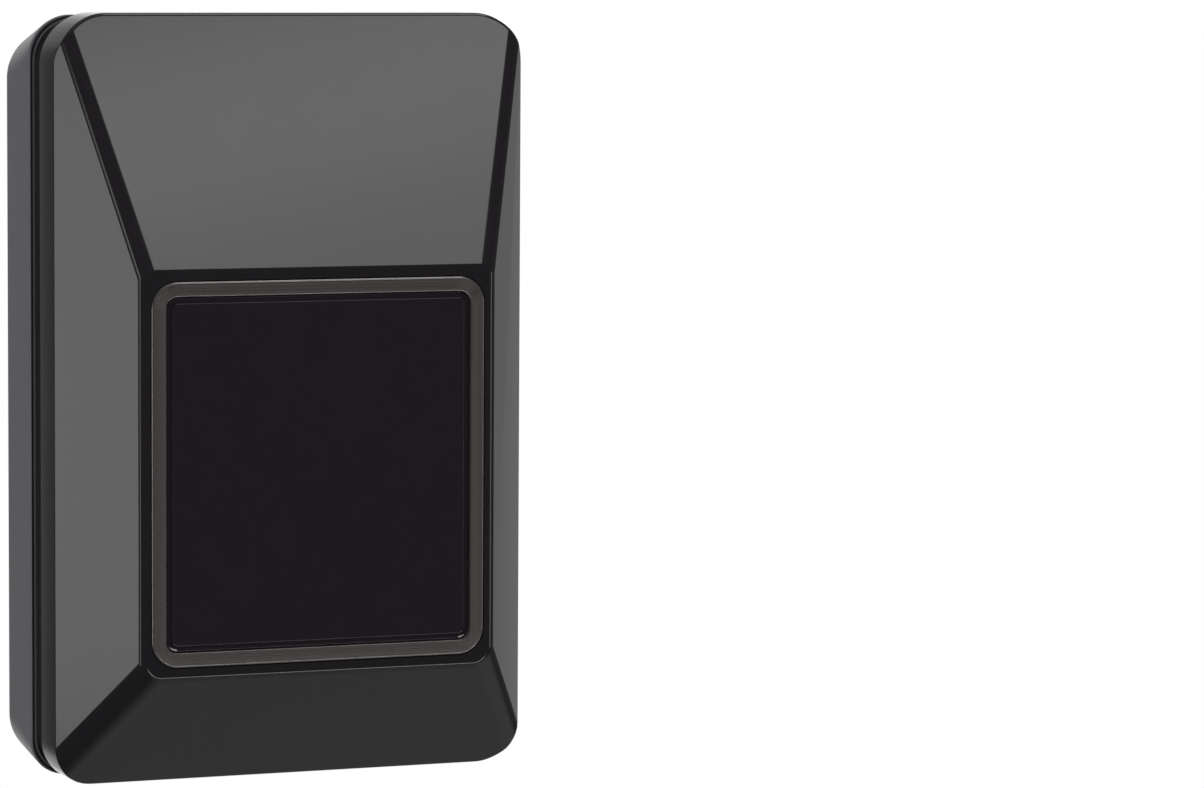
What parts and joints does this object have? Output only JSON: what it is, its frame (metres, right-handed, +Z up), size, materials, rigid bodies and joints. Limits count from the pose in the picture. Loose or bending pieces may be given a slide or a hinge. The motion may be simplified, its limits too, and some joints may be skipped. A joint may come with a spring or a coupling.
{
  "type": "gate safety photocell",
  "caption": "Wall-mounted gate safety photocell: a dark housing with a sloping front round a framed window, and an aimable lens head inside.",
  "frame": {"origin": "centre of the housing's back face, which lies on the wall", "axes": "+X to the right as seen from the front, +Y into the wall, +Z up"},
  "size_m": [0.0704, 0.037, 0.11],
  "materials": {
    "base_plastic": "fine-textured black moulding",
    "cover_plastic": "satin dark grey moulding",
    "black_rubber": "soft black rubber",
    "window_plastic": "polished infrared-pass acrylic, near black",
    "trim_metal": "brushed dark grey",
    "board_laminate": "green solder mask",
    "screw_steel": "zinc plated",
    "terminal_plastic": "green terminal body",
    "tinned_metal": "tinned",
    "relay_plastic": "blue relay case",
    "capacitor_sleeve": "dark blue shrink sleeve",
    "varistor_coat": "blue epoxy coat",
    "chip_resin": "black moulding resin",
    "ceramic": "tan ceramic",
    "switch_plastic": "red switch body",
    "lever_plastic": "white",
    "trimmer_plastic": "blue trimmer body",
    "green_lamp": "diffused green resin",
    "red_lamp": "diffused red resin",
    "head_plastic": "matte black moulding",
    "ring_plastic": "dark grey moulding",
    "lens_glass": "clear lens",
    "diode_resin": "dark infrared-pass resin"
  },
  "bodies": {
    "housing": {"base_box": "base_plastic", "cable_grommet": "black_rubber", "housing_seal": "black_rubber", "main_board": "board_laminate", "board_screws": "screw_steel", "terminal_block": "terminal_plastic", "terminal_cages": "tinned_metal", "terminal_screws": "screw_steel", "relay": "relay_plastic", "capacitor": "capacitor_sleeve", "varistor": "varistor_coat", "microcontroller": "chip_resin", "regulator": "chip_resin", "small_components": "ceramic", "switch_body": "switch_plastic", "trimmer_body": "trimmer_plastic", "power_led": "green_lamp", "alignment_led": "red_lamp", "head_bracket": "head_plastic", "bracket_screws": "screw_steel"},
    "cover": {"front_cover": "cover_plastic", "window_gasket": "black_rubber", "window_pane": "window_plastic", "window_trim": "trim_metal"},
    "pan_ring": {"gimbal_ring": "ring_plastic"},
    "lens_head": {"lens_holder": "head_plastic", "lens": "lens_glass", "lens_retainer": "ring_plastic", "optical_baffle": "head_plastic", "sensor_board": "board_laminate", "photodiode": "diode_resin"},
    "lever_1": {"switch_lever_1": "lever_plastic"},
    "lever_2": {"switch_lever_2": "lever_plastic"},
    "rotor": {"trimmer_rotor": "lever_plastic"}
  },
  "joints": [
    {"name": "cover_pull", "type": "slide", "parent": "housing", "child": "cover", "axis": [0, -1, 0], "range_m": [0, 0.04]},
    {"name": "head_pan", "type": "hinge", "parent": "housing", "child": "pan_ring", "pos_m": [0, -0.0214, -0.0095], "axis": [0, 0, 1], "range_deg": [-25, 25]},
    {"name": "head_tilt", "type": "hinge", "parent": "pan_ring", "child": "lens_head", "pos_m": [0, -0.0214, -0.0095], "axis": [1, 0, 0], "range_deg": [-12, 12]},
    {"name": "lever_1_slide", "type": "slide", "parent": "housing", "child": "lever_1", "axis": [0, 0, 1], "range_m": [0, 0.0018]},
    {"name": "lever_2_slide", "type": "slide", "parent": "housing", "child": "lever_2", "axis": [0, 0, 1], "range_m": [0, 0.0018]},
    {"name": "trimmer_turn", "type": "hinge", "parent": "housing", "child": "rotor", "pos_m": [0.0149, -0.0118, -0.04045], "axis": [0, -1, 0], "range_deg": [-135, 135]}
  ]
}
